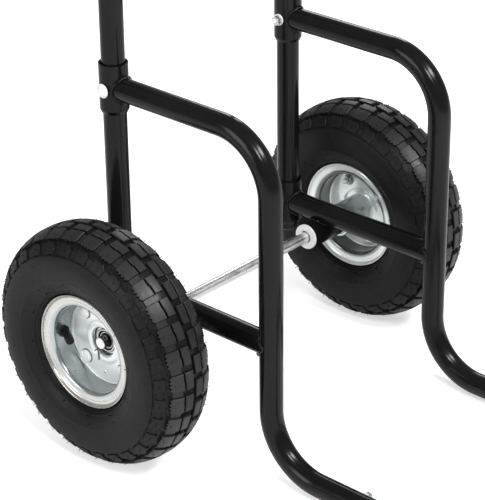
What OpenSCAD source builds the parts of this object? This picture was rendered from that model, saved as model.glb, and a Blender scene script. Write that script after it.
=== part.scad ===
// Fireside log cart: two bent side tubes, a bolted-in handle bow and toe bow, and two air-filled wheels.
// Millimetres. +Z is up, -Y is the toe side where the logs lie, the wheels are at +Y, left is -X.
// The origin is on the floor under the middle of the whole cart.

/* [Frame] */
// Distance between the left and right frame tubes, centre to centre
frame_w = 271; // [250:1:290]
// Outer diameter of every frame tube
tube_od = 25; // [24:0.5:26]
// Wall of the frame tubes
tube_wall = 1.5; // [1.2:0.1:2]
// Bend radius of the frame tubes, to the centreline
bend_r = 65; // [55:1:75]
// Height of the upper arms
arm_z = 381; // [340:1:420]
// Height of the lower braces
brace_z = 156; // [155:1:158]
// Height of the toe tubes
toe_z = 15.5; // [15:0.5:18]
// Uprights behind the axle
upright_back = 49.5; // [42:0.5:60]
// Front verticals ahead of the axle
front_ahead = 164; // [150:1:180]
// How far the toe reaches ahead of the front verticals
toe_reach = 316; // [280:1:360]

/* [Handle] */
// Height of the handle bar
handle_z = 1024; // [900:1:1100]
// Length of the foam grip
grip_len = 128; // [90:1:138]
// Outer diameter of the foam grip
grip_od = 34; // [31:0.5:38]

/* [Sleeves] */
// Outer diameter of the sleeves that hold the uprights
sleeve_od = 31; // [30.5:0.1:32]
// Wall of the sleeves
sleeve_wall = 1.5; // [1.2:0.1:1.8]
// Length of each sleeve
sleeve_len = 54; // [48:1:60]

/* [Wheels] */
// Outer diameter of the tyres
tyre_od = 265; // [260:1:270]
// Width of the tyres
tyre_w = 82; // [80:1:86]
// Distance between the wheels' centre planes
track = 428; // [424:1:440]
// Diameter of the axle
axle_d = 12.68; // [12.6:0.01:12.7]
// Diameter of the rim flange
flange_d = 126; // [124:1:127]
// Rolling position of the left wheel
left_phase = 0; // [0:1:359]
// Rolling position of the right wheel
right_phase = 105; // [0:1:359]

/* [Hidden] */
$fn = 72;
eps = 0.05;                                     // weld gap between pieces that touch
tube_id = tube_od - 2 * tube_wall;
sleeve_id = sleeve_od - 2 * sleeve_wall;
frame_x = frame_w / 2;
axle_z = tyre_od / 2;
glide_wall = 2.5;
toe_front_r = tube_od / 2 + glide_wall;
axle_y = (toe_reach + front_ahead + toe_front_r - tyre_od / 2) / 2;
upright_y = axle_y + upright_back;
front_y = axle_y - front_ahead;
toe_tip_y = front_y - toe_reach;
toe_joint_y = front_y - bend_r - 70;
swage_len = 40;
swage_od = tube_id - 0.3;
leg_end_z = brace_z - sleeve_len / 2 - 6;
// bolts
bolt_d = 6;
bolt_hole = 6.6;
head_d = 15.5;
head_h = 4.6;
nut_af = 10;
nut_h = 5;
washer_t = 1.5;
// axle tubes and what sits on the axle
axle_tube_od = 30;
axle_tube_id = 25;
axle_tube_len = 48;
axle_end = 4.5;                                 // axle end outboard of the wheel's centre plane
loose_washer_od = 29;
loose_washer_t = 2.5;
// bearings, ball size and counts of a 32 x 10 mm ball bearing with a half-inch bore
race_od = 32;
race_w = 10;
inner_race_od = 18;
outer_race_id = 27;
ball_d = 5.9;
ball_pitch_r = 11.25;
balls = 7;
// hub
hub_od = 36.8;
hub_in_u = -50.5;                               // inboard end, from the wheel's centre plane
hub_out_u = -2;
outer_brg_u = -5;                               // outboard face of the outer bearing
inner_brg_u = hub_in_u + 1;                     // inboard face of the inner bearing
// rims
joint_u = -3;                                   // plane where the two rim halves meet
sheet = 2;
seat_r = 49.4;                                  // middle of the rim sheet under the tyre beads
corner_r = 2.4;                                 // bend between a rim half's disc and its barrel
rim_bolt_r = 37;
rim_bolt_head_d = 13;
valve_u = 10.5;                                 // middle plane of the valve
valve_lean = 30;                                // the valve leans outboard
// tyre section
sec_n = 2.3;
sec_r = 94;                                     // radius of the middle of the section
sec_h = tyre_od / 2 - sec_r;

// ---------- helpers ----------

function arc(c, r, a0, a1, n) = [for (i = [0:n]) let (a = a0 + (a1 - a0) * i / n) c + r * [cos(a), sin(a)]];
function unit(v) = v / norm(v);
function left_of(v) = [-v[1], v[0]];
function along(p, i) = unit(p[min(i + 1, len(p) - 1)] - p[max(i - 1, 0)]);
function side_line(p, d) = [for (i = [0:len(p) - 1]) p[i] + d * left_of(along(p, i))];
function reversed(p) = [for (i = [len(p) - 1:-1:0]) p[i]];
// a strip of sheet metal, t thick, along the open path p
function strip(p, t) = concat(side_line(p, t / 2), reversed(side_line(p, -t / 2)));
// half a superellipse-like tyre section from the crown (90) down to angle a, w wide and h high
function section_pt(a, w, h) = let (c = cos(a), s = sin(a))
    [sec_r + sign(s) * pow(abs(s), 2 / sec_n) * h, sign(c) * pow(abs(c), 2 / sec_n) * w];

module on_side(side) {
    if (side < 0) mirror([1, 0, 0]) children();
    else children();
}
// local x is +Y, local y is +Z and local z is +X
module side_plane(x) {
    translate([x, 0, 0]) rotate([90, 0, 90]) children();
}
// local z points outboard along the axle, with its zero in the wheel's centre plane
module on_wheel(side) {
    on_side(side) translate([track / 2, axle_y, axle_z])
        rotate([side < 0 ? left_phase : right_phase, 0, 0]) rotate([90, 0, 90]) children();
}
module ring(r_out, r_in, z0, z1) {
    translate([0, 0, z0]) difference() {
        cylinder(h = z1 - z0, r = r_out);
        translate([0, 0, -1]) cylinder(h = z1 - z0 + 2, r = r_in);
    }
}
module straight(a, b, d) {
    v = b - a;
    translate([a[0], a[1], 0]) rotate([0, 0, atan2(v[1], v[0])]) rotate([0, 90, 0])
        cylinder(h = norm(v), d = d);
}
// a quarter bend at corner p, between the directions to a and to b
module quarter(p, a, b, r, d) {
    ua = unit(a - p);
    ub = unit(b - p);
    c = p + r * (ua + ub);
    turn = ua[0] * ub[1] - ua[1] * ub[0] > 0 ? -ua : -ub;
    translate([c[0], c[1], 0]) rotate([0, 0, atan2(turn[1], turn[0])])
        rotate_extrude(angle = 90) translate([r, 0]) circle(d = d);
}
// a round bar along the points p, with square corners bent to radius r
module bent_bar(p, r, d) {
    n = len(p) - 1;
    for (i = [0:n - 1]) {
        u = unit(p[i + 1] - p[i]);
        straight(p[i] + (i == 0 ? 0 : r) * u, p[i + 1] - (i == n - 1 ? 0 : r) * u, d);
    }
    for (i = [1:n - 1]) quarter(p[i], p[i - 1], p[i + 1], r, d);
}
module bent_tube(p, r, d_out, d_in) {
    n = len(p) - 1;
    longer = [for (i = [0:n]) i == 0 ? p[0] - unit(p[1] - p[0])
        : i == n ? p[n] + unit(p[n] - p[n - 1]) : p[i]];
    difference() {
        bent_bar(p, r, d_out);
        bent_bar(longer, r, d_in);
    }
}
// bar along X through a bolt joint, from x0 outwards
module x_bar(y, z, x0, x1, d) {
    translate([x0, y, z]) rotate([0, 90, 0]) cylinder(h = x1 - x0, d = d);
}
// domed bolt with its head's seat at z = 0, head up
module dome_bolt(len, d, hd, hh) {
    edge = 1.2;
    dome = hh - edge;
    dome_r = (hd * hd / 4 + dome * dome) / (2 * dome);
    translate([0, 0, -len]) cylinder(h = len, d = d);
    rotate_extrude() polygon(concat([[0, 0], [hd / 2, 0]],
        arc([0, hh - dome_r], dome_r, acos(hd / 2 / dome_r), 90, 10)));
}
// hexagon nut with chamfered corners, from z = 0 up
module hex_nut(af, h, bore) {
    r = af / 2 / cos(30);
    difference() {
        intersection() {
            cylinder(h = h, r = r, $fn = 6);
            rotate_extrude() polygon([[0, 0], [af / 2, 0], [r + 0.1, 0.9],
                [r + 0.1, h - 0.9], [af / 2, h], [0, h]]);
        }
        translate([0, 0, -1]) cylinder(h = h + 2, d = bore);
    }
}

// ---------- frame ----------

side_path = [[upright_y, arm_z], [front_y, arm_z], [front_y, toe_z], [toe_joint_y, toe_z]];

// upper arm, front vertical and toe tube in one bent tube, coped to the upper sleeve
module side_tube(side) color([0.09, 0.09, 0.1]) on_side(side) difference() {
    side_plane(frame_x) bent_tube(side_path, bend_r, tube_od, tube_id);
    translate([frame_x, upright_y, arm_z - 50]) cylinder(h = 100, d = sleeve_od + 2 * eps);
    x_bar(toe_joint_y + swage_len / 2, toe_z, frame_x - 20, frame_x + 20, bolt_hole);
}
// straight tube from the lower sleeve to the front vertical
module brace(side) color([0.09, 0.09, 0.1]) on_side(side) difference() {
    side_plane(frame_x) bent_tube([[upright_y, brace_z], [front_y, brace_z]], bend_r, tube_od, tube_id);
    translate([frame_x, upright_y, brace_z - 50]) cylinder(h = 100, d = sleeve_od + 2 * eps);
    translate([frame_x, front_y, brace_z - 50]) cylinder(h = 100, d = tube_od + 2 * eps);
}
// necked sleeve that an upright slides into
module sleeve(side, z) color([0.1, 0.1, 0.11]) on_side(side) translate([frame_x, upright_y, z])
    difference() {
        rotate_extrude() {
            h = sleeve_len / 2;
            neck = tube_od / 2 + 0.4;
            polygon([[sleeve_id / 2, h], [sleeve_od / 2, h], [sleeve_od / 2, 4 - h],
                [neck + 0.8, -h], [neck, -h], [neck, 2 - h], [sleeve_id / 2, 5 - h]]);
        }
        x_bar(0, 0, -20, 20, bolt_hole);
    }
// cross tube under the brace that carries the axle, coped to the brace
module axle_tube(side) color([0.09, 0.09, 0.1]) on_side(side) difference() {
    translate([frame_x, axle_y, axle_z]) rotate([0, 90, 0]) translate([0, 0, -axle_tube_len / 2])
        ring(axle_tube_od / 2, axle_tube_id / 2, 0, axle_tube_len);
    side_plane(frame_x) straight([axle_y - 40, brace_z], [axle_y + 40, brace_z], tube_od + 2 * eps);
}
// nylon bushes pressed into both ends of each axle tube
module axle_tube_bushes() color([0.07, 0.07, 0.07]) for (side = [-1, 1], end = [0, 1]) {
    len = 12;
    on_side(side) translate([frame_x - axle_tube_len / 2 + end * (axle_tube_len - len), axle_y, axle_z])
        rotate([0, 90, 0]) ring(axle_tube_id / 2 - 0.02, axle_d / 2 + 0.05, 0, len);
}

// ---------- axle ----------

cotter_d = 3;
cotter_hole = 3.3;
cotter_x = track / 2 + 1.5;
cotter_turn = 35;                               // the split pins lean back from the vertical

module axle() color([0.75, 0.76, 0.78]) {
    half = track / 2 + axle_end;
    chamfer = 0.6;
    difference() {
        translate([0, axle_y, axle_z]) rotate([0, 90, 0]) rotate_extrude() polygon([[0, -half],
            [axle_d / 2 - chamfer, -half], [axle_d / 2, chamfer - half], [axle_d / 2, half - chamfer],
            [axle_d / 2 - chamfer, half], [0, half]]);
        for (x = [-cotter_x, cotter_x]) translate([x, axle_y, axle_z]) rotate([cotter_turn, 0, 0])
            translate([0, 0, -20]) cylinder(h = 40, d = cotter_hole);
    }
}
// loose washers on the inner ends of the axle tubes
module axle_washers() color([0.75, 0.76, 0.78]) for (side = [-1, 1])
    on_side(side) translate([frame_x - axle_tube_len / 2 - loose_washer_t, axle_y, axle_z])
        rotate([0, 90, 0]) ring(loose_washer_od / 2, 7.4, 0, loose_washer_t);
// spacers between the axle tubes and the wheels' inner bearings
module hub_spacers() color([0.75, 0.76, 0.78]) for (side = [-1, 1]) {
    x0 = frame_x + axle_tube_len / 2;
    on_side(side) translate([x0, axle_y, axle_z])
        rotate([0, 90, 0]) ring(8.5, axle_d / 2 + 0.1, 0, track / 2 + inner_brg_u - x0);
}
// split pins through the axle's ends: an eye on top, below it one leg bent straight down and one outwards
module cotter_pins() color([0.6, 0.61, 0.62]) for (side = [-1, 1])
    on_side(side) translate([cotter_x, axle_y, axle_z]) {
        top = axle_d / 2 + 0.4;
        leg = cotter_d / 2 - 0.1;
        bend = top + 4.6;
        eye_r = 2.6;
        rotate([cotter_turn, 0, 0]) {
            translate([0, 0, -top]) cylinder(h = 2 * top, d = cotter_d);
            translate([0, 0, top + eye_r - 0.3]) rotate([0, 90, 0]) rotate_extrude()
                translate([eye_r, 0]) circle(d = leg);
            translate([0, cotter_d / 4, -bend]) cylinder(h = 6, d = leg);
            translate([0, -cotter_d / 4, -top - 2]) cylinder(h = 3, d = leg);
            translate([0, -cotter_d / 4, -top - 2]) sphere(d = leg + 0.04);
            translate([0, -cotter_d / 4, -top - 2]) rotate([0, 112, 0]) cylinder(h = 6, d = leg);
            translate([0, cotter_d / 4, -bend]) {
                sphere(d = leg + 0.04);
                rotate([-cotter_turn - 6, 0, 0]) translate([0, 0, -14]) cylinder(h = 14, d = leg);
            }
        }
    }

// ---------- bearings ----------

// the two bearings of a hub: u is the outboard face of each
module at_bearings(side) on_wheel(side) for (u = [outer_brg_u, inner_brg_u + race_w])
    translate([0, 0, u - race_w / 2]) children();

groove_r = ball_d / 2 + 0.08;
module groove() rotate_extrude() translate([ball_pitch_r, 0]) circle(r = groove_r);

module inner_races(side) color([0.78, 0.79, 0.8]) at_bearings(side) difference() {
    ring(inner_race_od / 2, axle_d / 2 + 0.02, -race_w / 2, race_w / 2);
    groove();
}
module outer_races(side) color([0.78, 0.79, 0.8]) at_bearings(side) difference() {
    ring(race_od / 2 - 0.01, outer_race_id / 2, -race_w / 2, race_w / 2);
    groove();
}
module bearing_seals(side) color([0.05, 0.05, 0.05]) at_bearings(side) for (s = [-1, 1])
    translate([0, 0, s * (race_w / 2 - 0.9) - 0.4])
        ring(outer_race_id / 2 - 0.02, inner_race_od / 2 + 0.25, 0, 0.8);
module ball_sets(side) color([0.85, 0.85, 0.86]) at_bearings(side) for (i = [0:balls - 1])
    rotate([0, 0, i * 360 / balls]) translate([ball_pitch_r, 0, 0]) sphere(d = ball_d);

// ---------- wheels ----------

module hub(side) color([0.75, 0.77, 0.79]) on_wheel(side) difference() {
    rotate_extrude() polygon([[14.5, hub_in_u + 13], [race_od / 2, hub_in_u + race_w + 1],
        [race_od / 2, hub_in_u], [hub_od / 2 - 0.6, hub_in_u], [hub_od / 2, hub_in_u + 0.6],
        [hub_od / 2, hub_out_u - 0.6], [hub_od / 2 - 0.6, hub_out_u], [race_od / 2, hub_out_u],
        [race_od / 2, outer_brg_u - race_w], [14.5, outer_brg_u - race_w - 2]]);
}
// middle line of one rim half, as [radius, u], from the hub to the rolled lip; s is its outboard sign
function rim_line(s) = let (d0 = joint_u + s * sheet / 2, boss = 1.4, fl = 24.5)
    concat([[hub_od / 2 + 0.3 + sheet / 2, d0 + s * boss]],
        arc([21.6, d0 + s * (boss - 2.4)], 2.4, s * 75, s * 32, 5),
        [[24.6, d0 + s * 0.2], [26, d0]],
        arc([seat_r - corner_r, d0 + s * corner_r], corner_r, -s * 90, -s * 3, 6),
        [[seat_r - 0.2, s * (fl - 5)]],
        arc([seat_r + 3, s * (fl - 3)], 3, 180, 180 - s * 90, 5),
        [[flange_d / 2 - 6.5, s * fl]],
        arc([flange_d / 2 - 5, s * (fl + 4)], 4, -s * 80, s * 10, 7));
module rim_half(side, s) color([0.78, 0.8, 0.82]) on_wheel(side) difference() {
    rotate_extrude() polygon(strip(rim_line(s), sheet - 0.04));
    for (a = [45:90:315]) rotate([0, 0, a]) translate([rim_bolt_r, 0, joint_u - 10])
        cylinder(h = 20, d = 6.6);
    rotate([0, 0, -90]) translate([rim_bolt_r, 0, joint_u - 10]) cylinder(h = 20, d = 3.4);
    if (s > 0) translate([44, 0, valve_u]) rotate([0, 90, 0]) cylinder(h = 10, d = 11);
}
module rim_bolts(side) color([0.8, 0.81, 0.83]) on_wheel(side) for (a = [45:90:315])
    rotate([0, 0, a]) translate([rim_bolt_r, 0, joint_u + sheet])
        dome_bolt(14, bolt_d, rim_bolt_head_d, 3.2);
module rim_nuts(side) color([0.8, 0.81, 0.83]) on_wheel(side) for (a = [45:90:315])
    rotate([0, 0, a]) translate([rim_bolt_r, 0, joint_u - sheet]) mirror([0, 0, 1])
        hex_nut(nut_af, nut_h, bolt_d + 0.05);

// rubber valve: a foot on the air tube, a neck through the rim and a stem that leans outboard
module valve_stem(side) color([0.06, 0.06, 0.06]) on_wheel(side) difference() {
    translate([0, 0, valve_u]) union() {
        rotate([0, 90, 0]) rotate_extrude() polygon([[0, 45], [5.6, 45.8], [6.3, 46.4], [6.3, 47], [5.2, 47.1],
            [5.2, 52.4], [5.7, 53.6], [7, 57], [7, 61], [0, 61]]);
        at_valve_stem() rotate_extrude() polygon([[0, -1.5], [4.9, -1], [4.6, 2], [4, 11.5], [2.9, 12],
            [2.9, 19], [0, 19]]);
    }
    translate([48, 0, valve_u]) rotate([0, 90, 0]) cylinder(h = 20, d = 1.6);
    air_ring(0.03);
}
// local z runs along the stem, from the rim inwards and outboard
module at_valve_stem() translate([45.6, 0, 0]) rotate([0, valve_lean - 90, 0]) children();

module valve_cap(side) color([0.04, 0.04, 0.04]) on_wheel(side) translate([0, 0, valve_u]) at_valve_stem()
    difference() {
        rotate_extrude() polygon([[2.95, 12.3], [4.6, 12.3], [4.7, 13.2], [4.5, 21.4], [3.7, 22.2], [0, 22.2],
            [0, 19.4], [2.95, 19.4]]);
        for (a = [0:30:330]) rotate([0, 0, a]) translate([4.85, 0, 14]) cylinder(h = 10, d = 0.9);
    }

// A point of the tyre's skin, as [radius, u]: u from the middle of the tread, d deep in the rubber.
function skin(u, d) = section_pt(acos(pow(u / (tyre_w / 2), sec_n / 2)), tyre_w / 2 - d, sec_h - d);
function skin_band(u0, u1, d, n) = [for (i = [0:n]) skin(u0 + (u1 - u0) * i / n, d)];
function flipped(p) = [for (q = p) [q[0], -q[1]]];
// a closed ring profile from one side's points, which run from the bead to the crown
function both_sides(half, crown_r) = concat(half, [[crown_r, 0]], reversed(flipped(half)));

// Tread: two rows of blocks and a row of shoulder lugs on each side of the middle groove.
pitches = 31;
groove_d = 3;
mid_groove = 1.75;                              // half the width of the middle groove
inner_row = 11.9;                               // where the inner blocks end
outer_row = [13.4, 27.2];                       // the outer blocks
lug_row = [31.8, 38.7];                         // the shoulder lugs
tie_d = 1.3;                                    // depth of the bars that tie the outer blocks
lug_d = 1;                                      // depth of the bars that tie the lugs
gap_angle = 2.9;                                // between one block and the next
tread_turn = [2.4, 6.9];                        // how the left and the right tyre sit on their rims
tread_line = concat([skin(lug_row[1] + 0.5, 0)], skin_band(lug_row[1], lug_row[0], 0, 3),
    skin_band(lug_row[0] - 0.6, outer_row[1] + 0.8, groove_d - 0.8, 1), skin_band(outer_row[1], outer_row[0], 0, 3),
    skin_band(outer_row[0] - 0.2, inner_row + 0.2, groove_d - 1, 1), skin_band(inner_row, mid_groove, 0, 2),
    [skin(mid_groove - 0.4, groove_d)]);

// tyre profile as [radius, u]: tread and sidewalls outside, casing inside, a bead each side on the rim
bead = [[50.7, 17], [50.7, 21.4], [52.8, 22.9], [59.4, 23.2], [62.6, 23.8]];
wall_rings = [[-36, 0.5], [-34.5, 0.5]];        // raised ring on the sidewall, just outside the rim
sidewall = concat([for (a = [-50:5:-40]) section_pt(a, tyre_w / 2, sec_h)],
    [for (q = wall_rings) section_pt(q[0], tyre_w / 2 + q[1], sec_h + q[1])],
    [for (a = [-32:5:13]) section_pt(a, tyre_w / 2, sec_h)]);
tyre_outer = both_sides(concat(bead, sidewall, tread_line), tyre_od / 2 - groove_d);
tyre_inner = both_sides(concat([[54, 17]], [for (a = [-42:6:84]) section_pt(a, tyre_w / 2 - 4.5, sec_h - 10)]),
    tyre_od / 2 - 10);
// the open space between two blocks of a row, on one side of the middle
gap_line = concat(skin_band(mid_groove - 0.6, inner_row + 0.6, groove_d - 0.2, 2),
    skin_band(inner_row + 0.7, lug_row[0] - 1, tie_d, 3), skin_band(lug_row[0] - 0.9, lug_row[1] + 0.3, lug_d, 2));
module tread_gap() rotate([0, 0, -gap_angle / 2]) rotate_extrude(angle = gap_angle)
    polygon(concat(gap_line, [[skin(lug_row[1] + 0.3, 0)[0], tyre_w / 2 + 4], [tyre_od / 2 + 3, tyre_w / 2 + 4],
        [tyre_od / 2 + 3, mid_groove - 0.6]]));
module tyre(side) color([0.12, 0.12, 0.125]) on_wheel(side) difference() {
    pitch = 360 / pitches;
    rotate_extrude() polygon(concat(tyre_outer, reversed(tyre_inner)));
    for (i = [0:pitches - 1]) rotate([0, 0, tread_turn[side < 0 ? 0 : 1] + (i + 0.5) * pitch]) {
        tread_gap();
        rotate([0, 0, pitch / 2]) mirror([0, 0, 1]) tread_gap();
    }
}

// air tube: an oval ring, g larger all round than its wall's outside
tube_half_w = 30;
tube_half_h = 31.5;
module air_ring(g) rotate_extrude() polygon([for (a = [0:10:350])
    [sec_r - 5.5 + (tube_half_h + g) * sin(a), (tube_half_w + g) * cos(a)]]);
module inner_tube(side) color([0.07, 0.07, 0.07]) on_wheel(side) difference() {
    air_ring(0);
    air_ring(-1.7);
}

// ---------- handle ----------

module handle_bow() color([0.09, 0.09, 0.1]) difference() {
    translate([0, upright_y, 0]) rotate([90, 0, 0])
        bent_tube([[-frame_x, leg_end_z], [-frame_x, handle_z], [frame_x, handle_z], [frame_x, leg_end_z]],
            bend_r, tube_od, tube_id);
    for (z = [arm_z, brace_z], s = [-1, 1]) x_bar(upright_y, z, s * frame_x - 20, s * frame_x + 20, bolt_hole);
}
module handle_grip() color([0.05, 0.05, 0.05]) translate([-grip_len / 2, upright_y, handle_z])
    rotate([0, 90, 0]) difference() {
        rotate_extrude() polygon([[tube_od / 2 + eps, 0], [grip_od / 2 - 2, 0], [grip_od / 2, 2],
            [grip_od / 2, grip_len - 2], [grip_od / 2 - 2, grip_len], [tube_od / 2 + eps, grip_len]]);
    }
// plastic plugs in the bottom of the uprights
module leg_plugs() color([0.05, 0.05, 0.05]) for (s = [-1, 1])
    translate([s * frame_x, upright_y, leg_end_z]) {
        ring(tube_id / 2 - 0.05, tube_id / 2 - 2, -0.5, 14);
        translate([0, 0, -2.5]) cylinder(h = 2.5, d1 = tube_od - 2, d2 = tube_od);
    }

// ---------- bolts of the sleeves ----------

module at_sleeve_bolts() for (side = [-1, 1], z = [arm_z, brace_z])
    on_side(side) translate([frame_x, upright_y, z]) rotate([0, 90, 0]) children();

module sleeve_bolts() color([0.78, 0.79, 0.81]) at_sleeve_bolts() translate([0, 0, sleeve_od / 2])
    dome_bolt(sleeve_od + washer_t + nut_h + 3, bolt_d, head_d, head_h);
module sleeve_washers() color([0.78, 0.79, 0.81]) at_sleeve_bolts()
    ring(6.5, bolt_d / 2 + 0.2, -sleeve_od / 2 - washer_t, -sleeve_od / 2);
module sleeve_nuts() color([0.78, 0.79, 0.81]) at_sleeve_bolts()
    translate([0, 0, -sleeve_od / 2 - washer_t]) mirror([0, 0, 1]) hex_nut(nut_af, nut_h, bolt_d + 0.05);

// ---------- toe ----------

module toe_bow() color([0.09, 0.09, 0.1]) difference() {
    tip = toe_tip_y;
    translate([0, 0, toe_z]) {
        bent_tube([[-frame_x, toe_joint_y], [-frame_x, tip], [frame_x, tip], [frame_x, toe_joint_y]],
            bend_r, tube_od, tube_id);
        for (s = [-1, 1]) translate([s * frame_x, toe_joint_y, 0]) rotate([-90, 0, 0]) {
            ring(swage_od / 2, swage_od / 2 - tube_wall, 0, swage_len);
            rotate_extrude() polygon([[swage_od / 2 - tube_wall, 0], [tube_od / 2 - tube_wall - 0.1, -3],
                [tube_od / 2 - 0.5, -3], [tube_od / 2 - 0.5, -1], [swage_od / 2, 0]]);
        }
    }
    for (s = [-1, 1]) x_bar(toe_joint_y + swage_len / 2, toe_z, s * frame_x - 20, s * frame_x + 20, bolt_hole);
}
module at_toe_bolts() for (side = [-1, 1]) on_side(side)
    translate([frame_x, toe_joint_y + swage_len / 2, toe_z]) rotate([0, 90, 0]) children();

module toe_bolts() color([0.78, 0.79, 0.81]) at_toe_bolts() translate([0, 0, tube_od / 2])
    dome_bolt(tube_od + washer_t + nut_h + 3, bolt_d, 13, 3.8);
module toe_washers() color([0.78, 0.79, 0.81]) at_toe_bolts()
    ring(6, bolt_d / 2 + 0.2, -tube_od / 2 - washer_t, -tube_od / 2);
module toe_nuts() color([0.78, 0.79, 0.81]) at_toe_bolts()
    translate([0, 0, -tube_od / 2 - washer_t]) mirror([0, 0, 1]) hex_nut(nut_af, nut_h, bolt_d + 0.05);

// clip-on glides under the toe's cross bar, flat where they stand on the floor
module toe_glides() color([0.05, 0.05, 0.05]) for (s = [-1, 1])
    translate([s * 45, toe_tip_y, toe_z]) rotate([0, 90, 0]) difference() {
        glide = 36;
        translate([0, 0, -glide / 2]) union() {
            cylinder(h = glide, r = toe_front_r);
            translate([toe_z - 8, -10, 0]) cube([8, 20, glide]);
        }
        translate([0, 0, -glide]) cylinder(h = 2 * glide, r = tube_od / 2 + eps);
        translate([-40 + 3, -30, -glide]) cube([40 - 9, 60, 2 * glide]);
    }

side_tube(-1);  // left_side_tube
side_tube(1);  // right_side_tube
brace(-1);  // left_brace
brace(1);  // right_brace
sleeve(-1, arm_z);  // left_upper_sleeve
sleeve(1, arm_z);  // right_upper_sleeve
sleeve(-1, brace_z);  // left_lower_sleeve
sleeve(1, brace_z);  // right_lower_sleeve
axle_tube(-1);  // left_axle_tube
axle_tube(1);  // right_axle_tube
axle_tube_bushes();
axle();
axle_washers();
hub_spacers();
cotter_pins();
inner_races(-1);  // left_inner_races
inner_races(1);  // right_inner_races
handle_bow();
handle_grip();
leg_plugs();
sleeve_bolts();
sleeve_washers();
sleeve_nuts();
toe_bow();
toe_bolts();
toe_washers();
toe_nuts();
toe_glides();
tyre(-1);  // left_tyre
inner_tube(-1);  // left_inner_tube
valve_stem(-1);  // left_valve_stem
valve_cap(-1);  // left_valve_cap
rim_half(-1, 1);  // left_rim_outer
rim_half(-1, -1);  // left_rim_inner
hub(-1);  // left_hub
rim_bolts(-1);  // left_rim_bolts
rim_nuts(-1);  // left_rim_nuts
outer_races(-1);  // left_outer_races
bearing_seals(-1);  // left_bearing_seals
ball_sets(-1);  // left_balls
tyre(1);  // right_tyre
inner_tube(1);  // right_inner_tube
valve_stem(1);  // right_valve_stem
valve_cap(1);  // right_valve_cap
rim_half(1, 1);  // right_rim_outer
rim_half(1, -1);  // right_rim_inner
hub(1);  // right_hub
rim_bolts(1);  // right_rim_bolts
rim_nuts(1);  // right_rim_nuts
outer_races(1);  // right_outer_races
bearing_seals(1);  // right_bearing_seals
ball_sets(1);  // right_balls
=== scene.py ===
import math

import bmesh
import bpy
from mathutils import Matrix, Vector


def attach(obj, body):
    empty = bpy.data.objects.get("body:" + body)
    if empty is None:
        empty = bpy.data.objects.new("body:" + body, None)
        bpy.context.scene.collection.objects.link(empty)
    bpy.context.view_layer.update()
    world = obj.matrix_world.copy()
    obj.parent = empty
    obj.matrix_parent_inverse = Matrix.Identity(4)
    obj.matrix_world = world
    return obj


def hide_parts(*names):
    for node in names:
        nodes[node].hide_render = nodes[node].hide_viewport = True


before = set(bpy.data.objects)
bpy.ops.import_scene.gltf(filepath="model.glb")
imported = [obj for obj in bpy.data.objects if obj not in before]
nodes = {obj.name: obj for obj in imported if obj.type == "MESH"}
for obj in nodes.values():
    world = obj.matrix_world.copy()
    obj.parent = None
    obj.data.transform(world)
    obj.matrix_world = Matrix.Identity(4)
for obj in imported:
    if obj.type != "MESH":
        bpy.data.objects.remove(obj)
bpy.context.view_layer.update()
print("cart frame loaded:", len(nodes), "nodes")

# places shared by several pieces, in metres and degrees
cart = {
    "frameX": 0.1355,
    "tubeRadius": 0.0125,
    "sleeveRadius": 0.0155,
    "uprightY": 0.23075,
    "frontY": 0.01725,
    "armZ": 0.381,
    "braceZ": 0.156,
    "axleY": 0.18125,
    "axleZ": 0.1325,
    "axleTubeRadius": 0.015,
    "wheelX": 0.214,
    "toeBoltY": -0.09775,
    "toeZ": 0.0155,
    "phase": {"left": 0.0, "right": 105.0},
}
sides = {"left": -1, "right": 1}
axleMiddle = (0, cart["axleY"], cart["axleZ"])


def addObject(name, data):
    made = bpy.data.objects.new(name, data)
    bpy.context.scene.collection.objects.link(made)
    return made


def meshObject(bm, name):
    mesh = bpy.data.meshes.new(name)
    bm.to_mesh(mesh)
    bm.free()
    return addObject(name, mesh)


# the photograph's camera: azimuth, elevation and roll in degrees
photoCamera = {
    "place": (-1.47295, -1.16933, 1.17241),
    "turn": -47.525,
    "look": 26.922,
    "roll": -0.661,
    "lens": 146.39,
    "sensorHeight": 36,
    "clipEnd": 50,
}


def makeCamera(view):
    turn, look, roll = (math.radians(view[key]) for key in ("turn", "look", "roll"))
    back = Vector((math.sin(turn) * math.cos(look), -math.cos(turn) * math.cos(look), math.sin(look)))
    right = Vector((math.cos(turn), math.sin(turn), 0))
    up = back.cross(right)
    rolledRight = right * math.cos(roll) + up * math.sin(roll)
    rolledUp = up * math.cos(roll) - right * math.sin(roll)
    data = bpy.data.cameras.new("photoCamera")
    data.sensor_fit = "VERTICAL"
    data.sensor_height = view["sensorHeight"]
    data.lens = view["lens"]
    data.clip_end = view["clipEnd"]
    camera = addObject("photoCamera", data)
    turned = Matrix((rolledRight, rolledUp, back)).transposed().to_4x4()
    camera.matrix_world = Matrix.Translation(view["place"]) @ turned
    bpy.context.scene.camera = camera


studio = {
    # soft boxes: direction from the cart, distance, width, height, power
    "boxes": {
        "topFrontRight": ((0.12, -0.62, 0.77), 2.3, 0.95, 0.42, 46),
        "topFrontLeft": ((-0.42, -0.58, 0.72), 2.3, 0.34, 0.50, 24),
        "leftWall": ((-0.93, 0.22, 0.28), 2.8, 1.2, 1.4, 29),
        "backRight": ((0.80, 0.55, 0.45), 2.8, 0.9, 1.0, 14),
    },
    "aim": (0, 0.1, 0.25),
    # half the floor's side in metres
    "floorReach": 9,
    "floorRoughness": 0.9,
    # how light the floor is, and how light reflections show it
    "floorTone": 0.80,
    "floorInGloss": 0.98,
    # the glow that whitens the floor for the camera, near and far, and how many metres away those are
    "floorGlow": (0.54, 0.70),
    "glowReach": (0.7, 2.2),
    # how light the room is, and how light reflections show it
    "roomLight": 0.45,
    "roomGloss": 0.32,
}


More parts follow.
